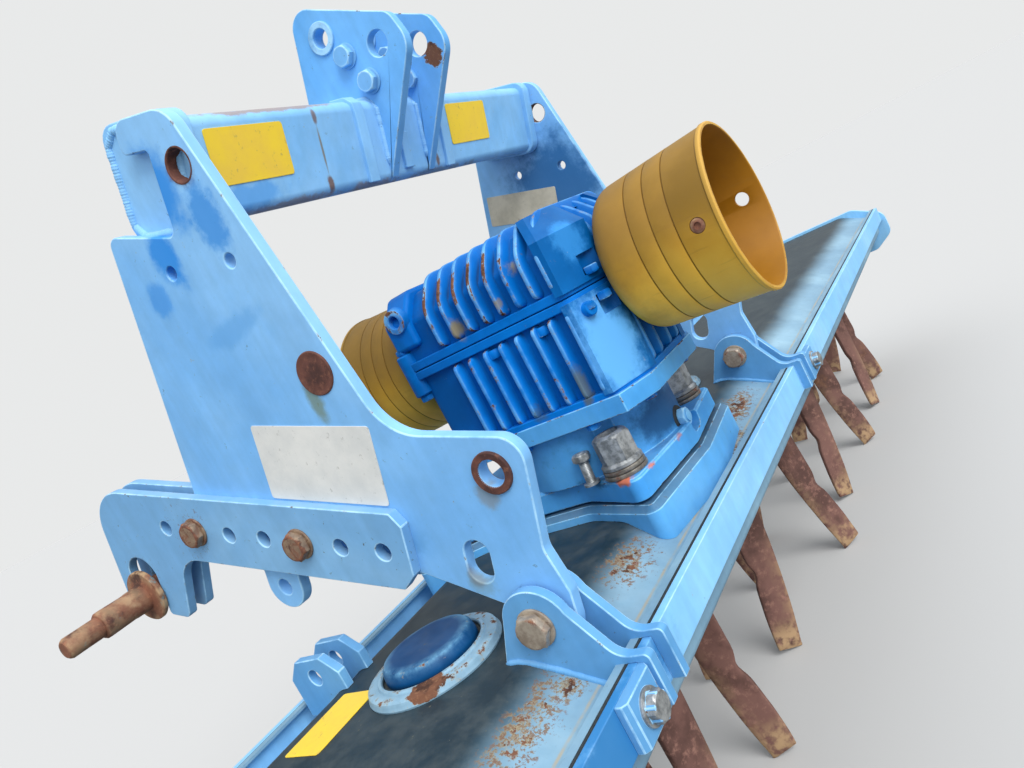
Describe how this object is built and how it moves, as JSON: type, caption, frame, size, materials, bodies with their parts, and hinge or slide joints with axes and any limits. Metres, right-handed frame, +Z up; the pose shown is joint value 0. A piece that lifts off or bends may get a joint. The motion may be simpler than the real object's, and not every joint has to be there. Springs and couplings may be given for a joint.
{
  "type": "power harrow",
  "caption": "Mounted power harrow: long gear trough with counter-turning tine rotors, finned gearbox with through shaft, and a hinged three-point headstock.",
  "frame": {"origin": "centre of the whole machine's box at the tine tips' floor", "axes": "+X to the machine's right along the trough, +Y forward to the tractor, +Z up"},
  "size_m": [4.009, 0.8616, 1.2866],
  "materials": {
    "frame_blue": "sun-faded light blue paint with rust",
    "gearbox_blue": "deep blue paint on cast iron",
    "guard_yellow": "ochre yellow moulded plastic",
    "bolt_zinc": "dull zinc with rust",
    "pin_rust": "rusty steel with old paint",
    "shaft_steel": "greased steel",
    "carrier_steel": "dirty forged steel",
    "tine_rust": "brown rust, tan at the worn tips"
  },
  "bodies": {
    "trough_frame": {"bar_clamps": "frame_blue", "bar_front": "frame_blue", "bar_rear": "frame_blue", "end_plates": "frame_blue", "front_lugs_left": "frame_blue", "front_lugs_right": "frame_blue", "gearbox_base": "gearbox_blue", "gearbox_lower": "gearbox_blue", "gearbox_nuts": "bolt_zinc", "gearbox_pad": "frame_blue", "gearbox_upper": "gearbox_blue", "guard_front": "guard_yellow", "guard_rear": "guard_yellow", "hinge_bolts": "bolt_zinc", "hinge_ears": "frame_blue", "trough": "frame_blue", "trough_caps": "frame_blue"},
    "headstock": {"arm_bolts": "bolt_zinc", "cross_beam": "frame_blue", "link_arms_left": "frame_blue", "link_arms_right": "frame_blue", "link_pin_left": "pin_rust", "link_pin_right": "pin_rust", "side_plate_left": "frame_blue", "side_plate_right": "frame_blue", "top_link_bolts": "frame_blue", "top_link_plates": "frame_blue"},
    "pto_shaft": {"pto_shaft": "shaft_steel"},
    "rotor_01": {"rotor_01": "carrier_steel", "tines_01": "tine_rust"},
    "rotor_02": {"rotor_02": "carrier_steel", "tines_02": "tine_rust"},
    "rotor_03": {"rotor_03": "carrier_steel", "tines_03": "tine_rust"},
    "rotor_04": {"rotor_04": "carrier_steel", "tines_04": "tine_rust"},
    "rotor_05": {"rotor_05": "carrier_steel", "tines_05": "tine_rust"},
    "rotor_06": {"rotor_06": "carrier_steel", "tines_06": "tine_rust"},
    "rotor_07": {"rotor_07": "carrier_steel", "tines_07": "tine_rust"},
    "rotor_08": {"rotor_08": "carrier_steel", "tines_08": "tine_rust"},
    "rotor_09": {"rotor_09": "carrier_steel", "tines_09": "tine_rust"},
    "rotor_10": {"rotor_10": "carrier_steel", "tines_10": "tine_rust"},
    "rotor_11": {"rotor_11": "carrier_steel", "tines_11": "tine_rust"},
    "rotor_12": {"rotor_12": "carrier_steel", "tines_12": "tine_rust"},
    "rotor_13": {"rotor_13": "carrier_steel", "tines_13": "tine_rust"},
    "rotor_14": {"rotor_14": "carrier_steel", "tines_14": "tine_rust"}
  },
  "joints": [
    {"name": "headstock_pivot", "type": "hinge", "parent": "trough_frame", "child": "headstock", "pos_m": [0, -0.20778, 0.546], "axis": [1, 0, 0], "range_deg": [-18.8, 0]},
    {"name": "pto_spin", "type": "hinge", "parent": "trough_frame", "child": "pto_shaft", "pos_m": [0, -0.03278, 0.791], "axis": [0, 1, 0], "continuous": true},
    {"name": "rotor_01_spin", "type": "hinge", "parent": "trough_frame", "child": "rotor_01", "pos_m": [-1.8525, -0.03278, 0.386], "axis": [0, 0, 1], "continuous": true},
    {"name": "rotor_02_spin", "type": "hinge", "parent": "trough_frame", "child": "rotor_02", "pos_m": [-1.5675, -0.03278, 0.386], "axis": [0, 0, 1], "continuous": true},
    {"name": "rotor_03_spin", "type": "hinge", "parent": "trough_frame", "child": "rotor_03", "pos_m": [-1.2825, -0.03278, 0.386], "axis": [0, 0, 1], "continuous": true},
    {"name": "rotor_04_spin", "type": "hinge", "parent": "trough_frame", "child": "rotor_04", "pos_m": [-0.9975, -0.03278, 0.386], "axis": [0, 0, 1], "continuous": true},
    {"name": "rotor_05_spin", "type": "hinge", "parent": "trough_frame", "child": "rotor_05", "pos_m": [-0.7125, -0.03278, 0.386], "axis": [0, 0, 1], "continuous": true},
    {"name": "rotor_06_spin", "type": "hinge", "parent": "trough_frame", "child": "rotor_06", "pos_m": [-0.4275, -0.03278, 0.386], "axis": [0, 0, 1], "continuous": true},
    {"name": "rotor_07_spin", "type": "hinge", "parent": "trough_frame", "child": "rotor_07", "pos_m": [-0.1425, -0.03278, 0.386], "axis": [0, 0, 1], "continuous": true},
    {"name": "rotor_08_spin", "type": "hinge", "parent": "trough_frame", "child": "rotor_08", "pos_m": [0.1425, -0.03278, 0.386], "axis": [0, 0, 1], "continuous": true},
    {"name": "rotor_09_spin", "type": "hinge", "parent": "trough_frame", "child": "rotor_09", "pos_m": [0.4275, -0.03278, 0.386], "axis": [0, 0, 1], "continuous": true},
    {"name": "rotor_10_spin", "type": "hinge", "parent": "trough_frame", "child": "rotor_10", "pos_m": [0.7125, -0.03278, 0.386], "axis": [0, 0, 1], "continuous": true},
    {"name": "rotor_11_spin", "type": "hinge", "parent": "trough_frame", "child": "rotor_11", "pos_m": [0.9975, -0.03278, 0.386], "axis": [0, 0, 1], "continuous": true},
    {"name": "rotor_12_spin", "type": "hinge", "parent": "trough_frame", "child": "rotor_12", "pos_m": [1.2825, -0.03278, 0.386], "axis": [0, 0, 1], "continuous": true},
    {"name": "rotor_13_spin", "type": "hinge", "parent": "trough_frame", "child": "rotor_13", "pos_m": [1.5675, -0.03278, 0.386], "axis": [0, 0, 1], "continuous": true},
    {"name": "rotor_14_spin", "type": "hinge", "parent": "trough_frame", "child": "rotor_14", "pos_m": [1.8525, -0.03278, 0.386], "axis": [0, 0, 1], "continuous": true}
  ],
  "couplings": [
    {"joint": "rotor_01_spin", "follows": "rotor_07_spin", "ratio": 1},
    {"joint": "rotor_02_spin", "follows": "rotor_07_spin", "ratio": -1},
    {"joint": "rotor_03_spin", "follows": "rotor_07_spin", "ratio": 1},
    {"joint": "rotor_04_spin", "follows": "rotor_07_spin", "ratio": -1},
    {"joint": "rotor_05_spin", "follows": "rotor_07_spin", "ratio": 1},
    {"joint": "rotor_06_spin", "follows": "rotor_07_spin", "ratio": -1},
    {"joint": "rotor_08_spin", "follows": "rotor_07_spin", "ratio": -1},
    {"joint": "rotor_09_spin", "follows": "rotor_07_spin", "ratio": 1},
    {"joint": "rotor_10_spin", "follows": "rotor_07_spin", "ratio": -1},
    {"joint": "rotor_11_spin", "follows": "rotor_07_spin", "ratio": 1},
    {"joint": "rotor_12_spin", "follows": "rotor_07_spin", "ratio": -1},
    {"joint": "rotor_13_spin", "follows": "rotor_07_spin", "ratio": 1},
    {"joint": "rotor_14_spin", "follows": "rotor_07_spin", "ratio": -1},
    {"joint": "pto_spin", "follows": "rotor_07_spin", "ratio": 3}
  ]
}
